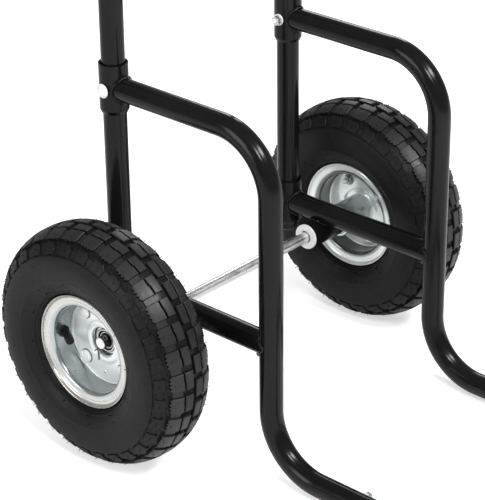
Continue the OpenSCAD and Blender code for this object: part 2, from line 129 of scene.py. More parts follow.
def makeSoftBox(name, direction, distance, width, height, power):
    data = bpy.data.lights.new(name, "AREA")
    data.shape = "RECTANGLE"
    data.size = width
    data.size_y = height
    data.energy = power
    lamp = addObject(name, data)
    away = Vector(direction).normalized()
    lamp.location = Vector(studio["aim"]) + away * distance
    lamp.rotation_euler = away.to_track_quat("Z", "Y").to_euler()


def maths(tree, operation, first, second=0):
    node = tree.nodes.new("ShaderNodeMath")
    node.operation = operation
    for socket, value in zip(node.inputs, (first, second)):
        if isinstance(value, (int, float)):
            socket.default_value = value
        else:
            tree.links.new(value, socket)
    return node.outputs[0]


def vectorMaths(tree, operation, vector):
    node = tree.nodes.new("ShaderNodeVectorMath")
    node.operation = operation
    tree.links.new(vector, node.inputs[0])
    return node.outputs


def span(tree, value, low, high, first, last):
    # the value, with its range from low to high made the range from first to last
    node = tree.nodes.new("ShaderNodeMapRange")
    for name, number in (("From Min", low), ("From Max", high), ("To Min", first), ("To Max", last)):
        node.inputs[name].default_value = number
    tree.links.new(value, node.inputs["Value"])
    return node.outputs["Result"]


def drift(tree, cloud, first, last):
    # a noise's values, most of which lie between 0.3 and 0.7, made the range from first to last
    return span(tree, cloud, 0.3, 0.7, first, last)


def seenRays(tree):
    # 1 for rays from the camera, and 1 for rays that show the place in a reflection or through glass
    path = tree.nodes.new("ShaderNodeLightPath")
    gloss = maths(tree, "MAXIMUM", path.outputs["Is Glossy Ray"], path.outputs["Is Transmission Ray"])
    return path.outputs["Is Camera Ray"], gloss


def makeRoom():
    # white to the camera, dimmer in gloss, and a soft light for everything else
    world = bpy.data.worlds.new("paleRoom")
    world.use_nodes = True
    tree = world.node_tree
    light = tree.nodes["Background"]
    light.inputs["Color"].default_value = (1, 1, 1, 1)
    camera, gloss = seenRays(tree)
    dimmer = maths(tree, "MULTIPLY", gloss, studio["roomGloss"] - studio["roomLight"])
    strength = maths(tree, "ADD", studio["roomLight"], dimmer)
    tree.links.new(maths(tree, "MAXIMUM", strength, camera), light.inputs["Strength"])
    bpy.context.scene.world = world


def makeFloor():
    bm = bmesh.new()
    bmesh.ops.create_grid(bm, x_segments=2, y_segments=2, size=studio["floorReach"])
    floor = meshObject(bm, "floor")
    material = bpy.data.materials.new("paleFloor")
    material.use_nodes = True
    tree = material.node_tree
    shader = tree.nodes["Principled BSDF"]
    shader.inputs["Roughness"].default_value = studio["floorRoughness"]
    shader.inputs["Specular IOR Level"].default_value = 0.0
    glow = tree.nodes.new("ShaderNodeEmission")
    glow.inputs["Color"].default_value = (1, 1, 1, 1)
    camera, gloss = seenRays(tree)
    darker = maths(tree, "MULTIPLY", gloss, studio["floorTone"] - studio["floorInGloss"])
    tone = tree.nodes.new("ShaderNodeCombineColor")
    for socket in tone.inputs:
        tree.links.new(maths(tree, "SUBTRACT", studio["floorTone"], darker), socket)
    tree.links.new(tone.outputs[0], shader.inputs["Base Color"])
    place = tree.nodes.new("ShaderNodeTexCoord")
    away = vectorMaths(tree, "LENGTH", place.outputs["Object"])["Value"]
    glowing = span(tree, away, *studio["glowReach"], *studio["floorGlow"])
    tree.links.new(maths(tree, "MULTIPLY", camera, glowing), glow.inputs["Strength"])
    both = tree.nodes.new("ShaderNodeAddShader")
    tree.links.new(shader.outputs[0], both.inputs[0])
    tree.links.new(glow.outputs[0], both.inputs[1])
    tree.links.new(both.outputs[0], tree.nodes["Material Output"].inputs["Surface"])
    floor.data.materials.append(material)


makeCamera(photoCamera)
for name, values in studio["boxes"].items():
    makeSoftBox(name, *values)
makeRoom()
makeFloor()
bpy.context.scene.view_settings.view_transform = "Standard"
print("camera, soft boxes and floor placed")


def startFinish(name, tone, roughness, metallic=0.0, specular=0.5, middle=(0, 0, 0)):
    # a principled material, and the object coordinates measured from the given middle
    material = bpy.data.materials.new(name)
    material.use_nodes = True
    tree = material.node_tree
    shader = tree.nodes["Principled BSDF"]
    shader.inputs["Base Color"].default_value = (tone, tone, tone, 1)
    shader.inputs["Roughness"].default_value = roughness
    shader.inputs["Metallic"].default_value = metallic
    shader.inputs["Specular IOR Level"].default_value = specular
    place = tree.nodes.new("ShaderNodeTexCoord").outputs["Object"]
    return material, tree, shader, mapped(tree, place, "Location", tuple(-v for v in middle))


def mapped(tree, vector, change, value):
    # the vector moved, turned or stretched, as the change says: Location, Rotation or Scale
    node = tree.nodes.new("ShaderNodeMapping")
    node.inputs[change].default_value = value
    tree.links.new(vector, node.inputs["Vector"])
    return node.outputs["Vector"]


def noise(tree, vector, scale, detail=4, roughness=0.5, distortion=0.0):
    texture = tree.nodes.new("ShaderNodeTexNoise")
    texture.inputs["Scale"].default_value = scale
    texture.inputs["Detail"].default_value = detail
    texture.inputs["Roughness"].default_value = roughness
    texture.inputs["Distortion"].default_value = distortion
    tree.links.new(vector, texture.inputs["Vector"])
    return texture.outputs["Fac"]


def latheLines(tree, vector, scale, distortion=0.0):
    wave = tree.nodes.new("ShaderNodeTexWave")
    wave.wave_type = "RINGS"
    wave.rings_direction = "X"
    wave.inputs["Scale"].default_value = scale
    wave.inputs["Distortion"].default_value = distortion
    wave.inputs["Detail"].default_value = 3
    tree.links.new(vector, wave.inputs["Vector"])
    return wave.outputs["Fac"]


def ramp(tree, value, stops, constant=False):
    # stops of (place, colour), blended or as plain bands
    stops = list(stops)
    node = tree.nodes.new("ShaderNodeValToRGB")
    band = node.color_ramp
    if constant:
        band.interpolation = "CONSTANT"
    while len(band.elements) < len(stops):
        band.elements.new(0.5)
    for element, (place, colour) in zip(band.elements, stops):
        element.position = place
        element.color = colour + (1,)
    tree.links.new(value, node.inputs["Fac"])
    return node.outputs["Color"]


def blend(tree, factor, first, second, kind="MIX"):
    node = tree.nodes.new("ShaderNodeMix")
    node.data_type = "RGBA"
    node.blend_type = kind
    if isinstance(factor, float):
        node.inputs["Factor"].default_value = factor
    else:
        tree.links.new(factor, node.inputs["Factor"])
    colours = [socket for socket in node.inputs if socket.type == "RGBA"]
    for socket, value in zip(colours, (first, second)):
        if isinstance(value, tuple):
            socket.default_value = value + (1,)
        else:
            tree.links.new(value, socket)
    return [socket for socket in node.outputs if socket.type == "RGBA"][0]


def relief(tree, shader, layers):
    # layers of (height, strength, depth in metres), the first one lowest
    normal = None
    for height, strength, depth in layers:
        bump = tree.nodes.new("ShaderNodeBump")
        bump.inputs["Strength"].default_value = strength
        bump.inputs["Distance"].default_value = depth
        tree.links.new(height, bump.inputs["Height"])
        if normal:
            tree.links.new(normal, bump.inputs["Normal"])
        normal = bump.outputs["Normal"]
    tree.links.new(normal, shader.inputs["Normal"])


def radiusFromAxle(tree, vector):
    return vectorMaths(tree, "LENGTH", mapped(tree, vector, "Scale", (0, 1, 1)))["Value"]


def shades(tone, tint, *factors):
    # the tone in its tint, once for each factor
    return [tuple(min(1.0, tone * factor * part) for part in tint) for factor in factors]


powder = {
    "tone": 0.0055,
    "gloss": 0.18,
    "specular": 0.165,
    # how much glossier and duller the clouds are
    "glossier": 0.05,
    "duller": 0.07,
}


def powderCoat():
    # black gloss powder coat: slight orange peel, a few duller clouds
    tone, gloss = powder["tone"], powder["gloss"]
    material, tree, shader, place = startFinish("blackPowderCoat", tone, gloss, 0.0, powder["specular"])
    colours = shades(tone, (1, 1, 1.06), 0.75, 1.3)
    drifts = noise(tree, place, scale=9, detail=5, roughness=0.6)
    tree.links.new(ramp(tree, drifts, zip((0.35, 0.7), colours)), shader.inputs["Base Color"])
    clouds = noise(tree, place, scale=36, detail=6, roughness=0.62)
    rough = span(tree, clouds, 0.3, 0.75, gloss - powder["glossier"], gloss + powder["duller"])
    tree.links.new(rough, shader.inputs["Roughness"])
    orangePeel = noise(tree, place, scale=60, detail=3)
    fineGrain = noise(tree, place, scale=700, detail=2)
    relief(tree, shader, [(orangePeel, 0.10, 0.0005), (fineGrain, 0.06, 0.0003)])
    return material


zinc = {
    "tone": 0.92,
    "outerGloss": 0.24,
    "boltGloss": 0.42,
    "nutGloss": 0.24,
    "hubGloss": 0.20,
    "innerGloss": 0.14,
    # how strong the lathe lines are on pressed parts and on the hub
    "lines": 0.03,
    "hubLines": 0.06,
    # colours over the cloudy noise and over the stains' noise
    "clouds": [(0.3, (0.90,) * 3), (0.5, (0.98,) * 3), (0.7, (1.0,) * 3)],
    "stains": [(0.3, (1.0,) * 3), (0.60, (0.98,) * 3), (0.74, (0.84, 0.83, 0.80))],
    # how much duller the clouds' dark parts are, and how much glossier their light parts
    "duller": 0.05,
    "glossier": 0.04,
    # the range of the stains' noise, and what it adds to the roughness
    "stainRough": (0.4, 0.75, -0.02, 0.07),
    # the radius in metres that the zones' colour ramp spans
    "reach": 0.07,
    # radius in metres, share of the tone, tint and metallic share
    # each pair is a part of the rim: the disc, a painted highlight along the fold, the bluish barrel darkened
    # with painted shade, and the rolled lip
    "outerZones": [(0.0, 1.0, (0.95, 0.985, 1.0), 0.26), (0.0455, 1.0, (0.95, 0.985, 1.0), 0.26),
                   (0.0461, 1.08, (1, 1, 1), 0.2), (0.0474, 1.08, (1, 1, 1), 0.2),
                   (0.0480, 0.47, (0.90, 0.98, 1.0), 0.85), (0.0524, 0.56, (0.93, 0.99, 1.0), 0.85),
                   (0.0550, 0.72, (1.0, 0.985, 0.96), 0.75), (0.0630, 0.52, (1.0, 0.965, 0.91), 0.7)],
    # the inner half's barrel is darker still, with more painted shade
    "innerZones": [(0.0, 1.06, (0.94, 1.0, 0.985), 0.4), (0.0455, 1.06, (0.94, 1.0, 0.985), 0.4),
                   (0.0461, 1.08, (1, 1, 1), 0.2), (0.0474, 1.08, (1, 1, 1), 0.2),
                   (0.0480, 0.19, (0.88, 0.97, 0.95), 0.9), (0.0524, 0.25, (0.90, 0.98, 0.96), 0.9),
                   (0.0550, 1.1, (0.96, 1.0, 1.0), 0.36), (0.0630, 1.06, (0.97, 1.0, 1.0), 0.36)],
    "bolt": [(0.0, 0.92, (0.99, 1.0, 1.0), 0.2)],
    "nut": [(0.0, 0.66, (0.97, 0.99, 1.0), 0.9)],
    "hub": [(0.0, 0.74, (0.93, 0.98, 1.0), 0.9)],
}


# a painted contact shadow: the thin dark ring painted round the rim bolts' heads and nuts, in metres
boltShadow = {
    # the bolts' distance from the axle along y and along z
    "bolt": 0.02616,
    # radii where the painted shadow starts
    "head": 0.0069,
    "nut": 0.0057,
    # the painted shadow's width, and the width of its faded edge
    "width": 0.0008,
    "soft": 0.0004,
    "strength": 0.95,
    "tone": (0.03, 0.033, 0.033),
}


def paintedBoltShadow(tree, place, turn, inside):
    # 1 in the thin ring of painted shadow round each of the four rim bolts, whose turn about the axle is
    # given
    turned = mapped(tree, place, "Rotation", (math.radians(-turn), 0, 0))
    apart = vectorMaths(tree, "ABSOLUTE", turned)["Vector"]
    fromBolt = radiusFromAxle(tree, mapped(tree, apart, "Location", (0, -boltShadow["bolt"], -boltShadow["bolt"])))
    outside = inside + boltShadow["width"]
    ring = maths(tree, "MULTIPLY", span(tree, fromBolt, inside - boltShadow["soft"], inside, 0, 1),
                 span(tree, fromBolt, outside, outside + boltShadow["soft"], 1, 0))
    return maths(tree, "MULTIPLY", ring, boltShadow["strength"])


def zincPlate(name, gloss, lines, zones, shadowRing=None):
    # bright zinc with cloudy plating, small stains and lathe lines; the zones go by distance from the axle
    material, tree, shader, place = startFinish(name, zinc["tone"], gloss, zones[0][3], 0.5, axleMiddle)
    clouds = noise(tree, place, scale=20, detail=6, roughness=0.6, distortion=0.5)
    stains = noise(tree, place, scale=85, detail=5, roughness=0.7)
    cloudy = ramp(tree, clouds, zinc["clouds"])
    stained = ramp(tree, stains, zinc["stains"])
    colour = shades(zinc["tone"], zones[0][2], zones[0][1])[0]
    if len(zones) > 1:
        # on the rims the zones paint a highlight along the fold and shade in the barrel
        fromAxle = span(tree, radiusFromAxle(tree, place), 0, zinc["reach"], 0, 1)
        places = [zone[0] / zinc["reach"] for zone in zones]
        tones = [shades(zinc["tone"], tint, share)[0] for radius, share, tint, metallic in zones]
        metals = [(metallic,) * 3 for radius, share, tint, metallic in zones]
        colour = ramp(tree, fromAxle, zip(places, tones))
        tree.links.new(ramp(tree, fromAxle, zip(places, metals)), shader.inputs["Metallic"])
    plating = blend(tree, 1.0, cloudy, stained, "MULTIPLY")
    plating = blend(tree, 1.0, plating, colour, "MULTIPLY")
    if shadowRing:
        # a thin dark ring painted round the bolt heads or nuts as their contact shadow
        plating = blend(tree, paintedBoltShadow(tree, place, *shadowRing), plating, boltShadow["tone"])
    tree.links.new(plating, shader.inputs["Base Color"])
    rough = drift(tree, clouds, gloss + zinc["duller"], gloss - zinc["glossier"])
    rough = maths(tree, "ADD", rough, span(tree, stains, *zinc["stainRough"]))
    tree.links.new(rough, shader.inputs["Roughness"])
    dents = noise(tree, place, scale=60, detail=2)
    relief(tree, shader, [(latheLines(tree, place, 420, 1.2), lines, 0.0002), (dents, 0.05, 0.0006)])
    return material


axleBar = {
    "tone": 0.86,
    "tint": (1, 0.99, 0.985),
    # shares of the tone in dull, plain and bright streaks
    "streaks": (0.70, 0.96, 1.12),
    # scales along the axle that draw out the streaks, the spots and the scratches
    "along": (0.06, 0.5, 0.03),
    # the dark colour painted on the axle as shade where it runs inside the hubs
    "grease": (0.10, 0.10, 0.10),
    # distances in metres from the axle's middle between which the painted shade inside the hubs fades in, and
    # out again
    "greaseStart": (0.155, 0.160),
    "greaseEnd": (0.2176, 0.2179),
}


def drawnSteel():
    # round bar with bright and dull streaks along its length, darkened with painted shade where the wheels
    # sit
    material, tree, shader, place = startFinish("drawnAxleSteel", 0.66, 0.28, 1.0)
    along = [mapped(tree, place, "Scale", (scale, 1, 1)) for scale in axleBar["along"]]
    streaks = noise(tree, along[0], scale=60, detail=5, roughness=0.65)
    spots = noise(tree, along[1], scale=120, roughness=0.6)
    scratches = noise(tree, along[2], scale=300, detail=3, roughness=0.6)
    colours = shades(axleBar["tone"], axleBar["tint"], *axleBar["streaks"])
    bare = ramp(tree, streaks, zip((0.3, 0.5, 0.75), colours))
    apart = tree.nodes.new("ShaderNodeSeparateXYZ")
    tree.links.new(place, apart.inputs[0])
    out = maths(tree, "ABSOLUTE", apart.outputs[0])
    shadedEnds = maths(tree, "MULTIPLY", span(tree, out, *axleBar["greaseStart"], 0, 1),
                   span(tree, out, *axleBar["greaseEnd"], 1, 0))
    tree.links.new(blend(tree, shadedEnds, bare, axleBar["grease"]), shader.inputs["Base Color"])
    tree.links.new(drift(tree, spots, 0.24, 0.42), shader.inputs["Roughness"])
    relief(tree, shader, [(scratches, 0.10, 0.0003)])
    return material


def wornSteel(name, tone, gloss):
    # plain ground steel, a little oily
    material, tree, shader, place = startFinish(name, tone, gloss, 1.0, 0.5, axleMiddle)
    smears = noise(tree, place, scale=110, roughness=0.6)
    colours = shades(tone, (1, 1, 1.02), 0.7, 1.15)
    tree.links.new(ramp(tree, smears, zip((0.3, 0.65), colours)), shader.inputs["Base Color"])
    tree.links.new(drift(tree, smears, gloss - 0.04, gloss + 0.10), shader.inputs["Roughness"])
    relief(tree, shader, [(latheLines(tree, place, 900, 0.3), 0.05, 0.0001)])
    return material


bearingRings = {
    "reach": 0.02,
    "black": (0.005, 0.006, 0.006),
    "bright": (0.86, 0.86, 0.85),
    # radii in metres where each ring of colour begins
    "starts": [(0.0, "black"), (0.0084, "bright"), (0.009, "black"), (0.01125, "bright"), (0.0118, "black"),
               (0.0121, "bright"), (0.0126, "black"), (0.0149, "bright"), (0.0151, "black")],
}


def bearingFace():
    # blackened shields and races with bright worn rings
    material, tree, shader, place = startFinish("bearingFace", 0.01, 0.4, 0.0, 0.15, axleMiddle)
    reach = bearingRings["reach"]
    fromAxle = span(tree, radiusFromAxle(tree, place), 0.0, reach, 0, 1)
    starts = bearingRings["starts"]
    colours = [(start / reach, bearingRings[kind]) for start, kind in starts]
    metals = [(start / reach, (1.0,) * 3 if kind == "bright" else (0.0,) * 3) for start, kind in starts]
    tree.links.new(ramp(tree, fromAxle, colours, True), shader.inputs["Base Color"])
    tree.links.new(ramp(tree, fromAxle, metals, True), shader.inputs["Metallic"])
    smears = noise(tree, place, scale=200, roughness=0.6)
    tree.links.new(drift(tree, smears, 0.30, 0.48), shader.inputs["Roughness"])
    relief(tree, shader, [(noise(tree, place, scale=400, detail=3), 0.06, 0.0002)])
    return material


rubberMix = {
    "tone": 0.0062,
    "gloss": 0.42,
    "specular": 0.15,
    "treadGloss": 0.33,
    "treadSpecular": 0.34,
    # radii in metres between which the sidewall's gloss turns into the tread's
    "treadStarts": (0.121, 0.130),
    # shares of the tone from the darkest to the lightest, in the bloom and on the worn tops
    "bloom": (0.65, 1.0, 2.0),
    "scuffs": (0.6, 1.0, 1.5),
    # how much glossier and duller the bloom is
    "glossier": 0.07,
    "duller": 0.09,
    # how much lighter and how much duller the blocks' worn tops are
    "worn": 2.1,
    "wornDuller": 0.08,
    "dust": (0.10, 0.10, 0.105),
}


def tyreRubber(name, specular):
    # near-black moulded rubber: grey bloom, faint mould rings, a fine grain and a smoother tread
    tone, gloss = rubberMix["tone"], rubberMix["gloss"]
    material, tree, shader, place = startFinish(name, tone, gloss, 0.0, specular, axleMiddle)
    bloom = noise(tree, place, scale=15, detail=6, roughness=0.66, distortion=0.4)
    grain = noise(tree, place, scale=320, roughness=0.6)
    fine = noise(tree, place, scale=520, detail=3, roughness=0.7)
    dust = noise(tree, place, scale=800, detail=2, roughness=0.6)
    lumps = noise(tree, place, scale=80, detail=3)
    onTread = span(tree, radiusFromAxle(tree, place), *rubberMix["treadStarts"], 0, 1)
    worn = tree.nodes.new("ShaderNodeAttribute")
    worn.attribute_name = "worn"
    colours = shades(tone, (1, 1, 1.06), *rubberMix["bloom"])
    plain = ramp(tree, bloom, zip((0.3, 0.55, 0.8), colours))
    dusty = shades(tone * rubberMix["worn"], (1, 1, 1.03), *rubberMix["scuffs"])
    scuffed = blend(tree, fine, dusty[0], ramp(tree, bloom, zip((0.35, 0.7), dusty[1:])))
    skin = blend(tree, worn.outputs["Fac"], plain, scuffed)
    specks = span(tree, dust, 0.67, 0.73, 0, 0.6)
    tree.links.new(blend(tree, specks, skin, rubberMix["dust"]), shader.inputs["Base Color"])
    rough = drift(tree, bloom, gloss - rubberMix["glossier"], gloss + rubberMix["duller"])
    duller = maths(tree, "MULTIPLY", worn.outputs["Fac"], rubberMix["wornDuller"])
    smoother = maths(tree, "MULTIPLY", onTread, rubberMix["treadGloss"] - gloss)
    for change in (duller, smoother, drift(tree, grain, -0.04, 0.05)):
        rough = maths(tree, "ADD", rough, change)
    tree.links.new(rough, shader.inputs["Roughness"])
    mouldRings = latheLines(tree, place, 130, 0.8)
    relief(tree, shader, [(lumps, 0.12, 0.0006), (mouldRings, 0.03, 0.0003), (grain, 0.12, 0.0003)])
    return material


def mouldedBlack(name, tone, gloss, specular, grain, strength):
    # moulded rubber or plastic with a fine grain, whose size and strength are given
    material, tree, shader, place = startFinish(name, tone, gloss, 0.0, specular)
    cloud = noise(tree, place, scale=30, roughness=0.6)
    colours = shades(tone, (1, 1, 1.04), 0.8, 1.35)
    tree.links.new(ramp(tree, cloud, zip((0.3, 0.7), colours)), shader.inputs["Base Color"])
    tree.links.new(drift(tree, cloud, gloss - 0.05, gloss + 0.08), shader.inputs["Roughness"])
    relief(tree, shader, [(noise(tree, place, scale=grain, detail=3, roughness=0.6), strength, 0.0004)])
    return material


def gripFoam():
    # closed-cell foam: a matt, pitted skin
    tone = 0.014
    material, tree, shader, place = startFinish("gripFoam", tone, 0.8, 0.0, 0.35)
    cells = tree.nodes.new("ShaderNodeTexVoronoi")
    cells.inputs["Scale"].default_value = 900
    tree.links.new(place, cells.inputs["Vector"])
    cloud = noise(tree, place, scale=60, roughness=0.6)
    colours = shades(tone, (1, 1, 1.04), 0.8, 1.6)
    tree.links.new(ramp(tree, cloud, zip((0.3, 0.7), colours)), shader.inputs["Base Color"])
    tree.links.new(drift(tree, cloud, 0.72, 0.9), shader.inputs["Roughness"])
    pits = noise(tree, place, scale=250)
    relief(tree, shader, [(pits, 0.3, 0.0006), (cells.outputs["Distance"], 0.5, 0.0005)])
    return material


finishes = {
    "paint": powderCoat(),
    "hubZinc": zincPlate("hubZinc", zinc["hubGloss"], zinc["hubLines"], zinc["hub"]),
    "boltZinc": zincPlate("boltZinc", zinc["boltGloss"], 0.0, zinc["bolt"]),
    "nutZinc": zincPlate("nutZinc", zinc["nutGloss"], 0.0, zinc["nut"]),
    "washerZinc": zincPlate("washerZinc", zinc["boltGloss"], zinc["lines"], zinc["bolt"]),
    "axleSteel": drawnSteel(),
    "pinSteel": wornSteel("pinSteel", 0.14, 0.34),
    "ballSteel": wornSteel("ballSteel", 0.70, 0.14),
    "bearingFace": bearingFace(),
    "tyre": tyreRubber("sidewallRubber", rubberMix["specular"]),
    "tread": tyreRubber("treadRubber", rubberMix["treadSpecular"]),
    "rubber": mouldedBlack("valveRubber", 0.004, 0.40, 0.2, grain=500, strength=0.08),
    "plastic": mouldedBlack("blackPlastic", 0.012, 0.42, 0.4, grain=700, strength=0.12),
    "foam": gripFoam(),
}
for side, turn in cart["phase"].items():
    # the radii where the painted shadow ring starts, round the heads on the outer halves and round the nuts
    # on the inner
    for half, clearance in (("outer", boltShadow["head"]), ("inner", boltShadow["nut"])):
        name = side + half.capitalize() + "Zinc"
        gloss, zones = zinc[half + "Gloss"], zinc[half + "Zones"]
        finishes[name] = zincPlate(name, gloss, zinc["lines"], zones, (turn, clearance))
print("finishes mixed:", len(finishes))


def finishPiece(bm, name, body, finish, replaced, sharpAngle):
    # the finished mesh as a piece on its body, smooth but for edges sharper than the angle in degrees
    limit = math.radians(sharpAngle)
    for face in bm.faces:
        face.smooth = True
    for edge in bm.edges:
        if len(edge.link_faces) == 2:
            edge.smooth = edge.calc_face_angle(0.0) < limit
    piece = meshObject(bm, name)
    piece.data.materials.append(finishes[finish])
    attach(piece, body)
    if replaced:
        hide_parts(*replaced)
    return piece


def spinRing(bm, outline, steps, middle=(0, 0)):
    # outline of (radius, x) points, spun about an x axis through the middle (y, z) into a closed ring
    made = [bm.verts.new((x, middle[0], middle[1] + radius)) for radius, x in outline]
    edges = [bm.edges.new(pair) for pair in zip(made, made[1:] + made[:1])]
    bmesh.ops.spin(bm, geom=made + edges, cent=(0, middle[0], middle[1]), axis=(1, 0, 0), angle=2 * math.pi,
                   steps=steps, use_merge=True)


def polar(radius, turn):
    return radius * math.cos(math.radians(turn)), radius * math.sin(math.radians(turn))


def arc(centre, radius, start, end, count):
    turns = [math.radians(start + (end - start) * i / count) for i in range(count + 1)]
    return [(centre[0] + radius * math.cos(turn), centre[1] + radius * math.sin(turn)) for turn in turns]


def mountAt(bm, sign, turn, place):
    # from a drawing in mm at the origin, outside towards +x, to its place in the cart
    bmesh.ops.remove_doubles(bm, verts=bm.verts, dist=1e-4)
    bmesh.ops.rotate(bm, cent=(0, 0, 0), matrix=Matrix.Rotation(math.radians(turn), 3, "X"), verts=bm.verts)
    bmesh.ops.scale(bm, vec=(0.001 * sign, 0.001, 0.001), verts=bm.verts)
    bmesh.ops.translate(bm, vec=(sign * place[0], place[1], place[2]), verts=bm.verts)
    bmesh.ops.recalc_face_normals(bm, faces=bm.faces)


def mountOnAxle(bm, side, turn):
    mountAt(bm, sides[side], turn, (cart["wheelX"], cart["axleY"], cart["axleZ"]))


def touching(bm, verts):
    # the vertices with the edges and faces that hang on them
    fresh = set(verts)
    return verts + [e for e in bm.edges if e.verts[0] in fresh] + [f for f in bm.faces if f.verts[0] in fresh]


tyre = {
    "radius": 132.5,
    "halfWidth": 40.9,
    "sectionRadius": 94.0,
    "fullness": 2.3,
    # the section is walked from the crown in so many rows, so many degrees apart
    "sectionRows": 301,
    "sectionStep": 0.5,
    "pitches": 31,
    "ringStepsPerPitch": 6,
    "grooveDepth": 3.5,
    # distance across where the shoulder begins: the wear fades out there, and blocks past it are matt
    "shoulder": 36,
    # angle from +y of the middle of an outboard block, and that middle along its pitch
    "treadTurn": {"left": 141.8, "right": 135.1},
    "blockMiddle": 10,
    # outlines in mm (along the tread, then across from the middle), height against the tread, bevel
    "blocks": [
        ([(0, 1.8), (20, 1.8), (20, 12.3), (10.5, 12.3), (10.0, 11.5), (0, 11.5)], 0.0, 0.55),
        ([(0, 13.2), (10.0, 13.2), (10.5, 14.0), (20, 14.0), (20, 27.4), (17.6, 30.0), (15.4, 28.0),
          (13.0, 30.5), (10.6, 28.2), (8.2, 30.6), (5.9, 28.0), (3.6, 29.8), (0, 26.8)], 0.0, 0.45),
        ([(0.4, 38.0), (5.8, 33.2), (9.2, 34.6), (12.0, 33.4), (18.8, 34.2), (18.0, 46.6), (1.2, 46.6)],
         0.0, 0.6),
        ([(19.6, 14.6), (27.3, 14.6), (27.3, 27.4), (19.6, 27.4)], -1.9, 0.5),
        ([(17.6, 37.0), (28.0, 37.0), (28.0, 45.0), (17.6, 45.0)], -1.4, 0.4),
    ],
    # how far a block reaches into the casing, and its top's size against its foot
    "rooted": 0.5,
    "drawnIn": 0.965,
    # the cells that a block is cut into, along and across, so that it can follow the tyre
    "cells": (5.2, 4.2),
    # over how many mm the wear fades towards the shoulder, and what is left of it there
    "wearFade": 8,
    "leastWear": 0.25,
    # rubber whiskers left by the mould's vents: along, across, radius and height
    "pips": [(9.5, 46.9, 0.5, 3.2), (22.6, 31.4, 0.5, 5.4), (22.6, 47.4, 0.45, 2.4), (9.5, 24.5, 0.45, 5.0),
             (9.5, 40, 0.5, 4.5)],
    # the same on the sidewall, and how many times they come round it
    "wallPips": [(0, 57, 0.9, 0.35), (16, 80, 0.5, 1.9), (9, 88.5, 0.65, 3.0)],
    "wallTurns": 12,
    # the whiskers' tip against their foot, and how far the foot reaches into the casing
    "pipTaper": 0.7,
    "pipSides": 6,
    "pipRoot": 1,
    # how far the casing lies below the blocks' tops, by the distance from the crown
    "casing": [(0, -3.5), (30, -3.5), (36, -2.7), (42, -2.0), (46.9, -1.2), (48.0, -0.9), (48.3, -0.1),
               (49, 0), (400, 0)],
    # the distances from the crown where the casing's outline has its points
    "stations": [0, 5, 10, 15, 20, 24, 27.5, 30, 33, 36, 39, 42, 44.5, 46.9, 48, 48.35, 49, 51, 54, 57, 60,
                 63, 66, 69, 72, 74, 75, 77, 78, 80, 82, 85, 88, 90.2, 90.7, 91.6, 92.1, 95],
    # raised rings on the sidewall: distance from the crown and height
    "rings": {75: 0.22, 77: 0.22, 90.7: 0.5, 91.6: 0.5},
    # radius and place across of the bead's points, from the rim's lip to the tyre's inside
    "bead": [(62.6, 23.8), (59.4, 23.2), (52.8, 22.9), (50.7, 21.4), (50.7, 17), (54, 17)],
    # the hollow: half its height and half its width, and its turns in degrees from the bead to the crown
    "hollow": (28.3, 36.3),
    "hollowTurns": range(-42, 91, 12),
}
pitchLength = 2 * math.pi * tyre["radius"] / tyre["pitches"]


def signedPower(value, power):
    return math.copysign(abs(value) ** power, value)


def walkSection(shape):
    # rows of distance from the crown, radius, place across, and outward direction as radius and across
    rows = []
    distance = 0.0
    power = 2 / shape["fullness"]
    height = shape["radius"] - shape["sectionRadius"]
    for i in range(shape["sectionRows"]):
        turn = math.radians(90 - i * shape["sectionStep"])
        across = signedPower(math.cos(turn), power) * shape["halfWidth"]
        radius = shape["sectionRadius"] + signedPower(math.sin(turn), power) * height
        if rows:
            distance += math.hypot(across - rows[-1][2], radius - rows[-1][1])
        rows.append([distance, radius, across])
    for before, row, after in zip(rows[:1] + rows, rows, rows[1:] + rows[-1:]):
        outward, sideways = after[1] - before[1], after[2] - before[2]
        length = math.hypot(outward, sideways)
        row.extend([sideways / length, -outward / length])
    return rows


tyreSection = walkSection(tyre)


def onSection(across, height):
    # radius and place across of a point so far from the crown and so high above the tyre's skin
    distance = abs(across)
    index = 0
    while index < len(tyreSection) - 2 and tyreSection[index + 1][0] < distance:
        index += 1
    low, high = tyreSection[index], tyreSection[index + 1]
    part = (distance - low[0]) / (high[0] - low[0])
    radius, side, outR, outX = (low[k] + (high[k] - low[k]) * part for k in (1, 2, 3, 4))
    return radius + outR * height, math.copysign(side + outX * height, across if across else 1)


def skinHeight(distance):
    # how far the casing lies below the blocks' tops
    for (start, low), (end, high) in zip(tyre["casing"], tyre["casing"][1:]):
        if distance <= end:
            return low + (high - low) * (distance - start) / (end - start)
    return 0.0


def casingOutline():
    # half the section from the crown to the bead and back along the hollow, then its mirror image
    rings, middle = tyre["rings"], tyre["sectionRadius"]
    half = [onSection(far, skinHeight(far) + rings.get(far, 0.0)) for far in tyre["stations"]]
    half += tyre["bead"]
    power = 2 / tyre["fullness"]
    high, wide = tyre["hollow"]
    for turn in map(math.radians, tyre["hollowTurns"]):
        half.append((middle + signedPower(math.sin(turn), power) * high, abs(math.cos(turn)) ** power * wide))
    half.append((middle + high, 0))
    return half + [(radius, -across) for radius, across in reversed(half[1:-1])]


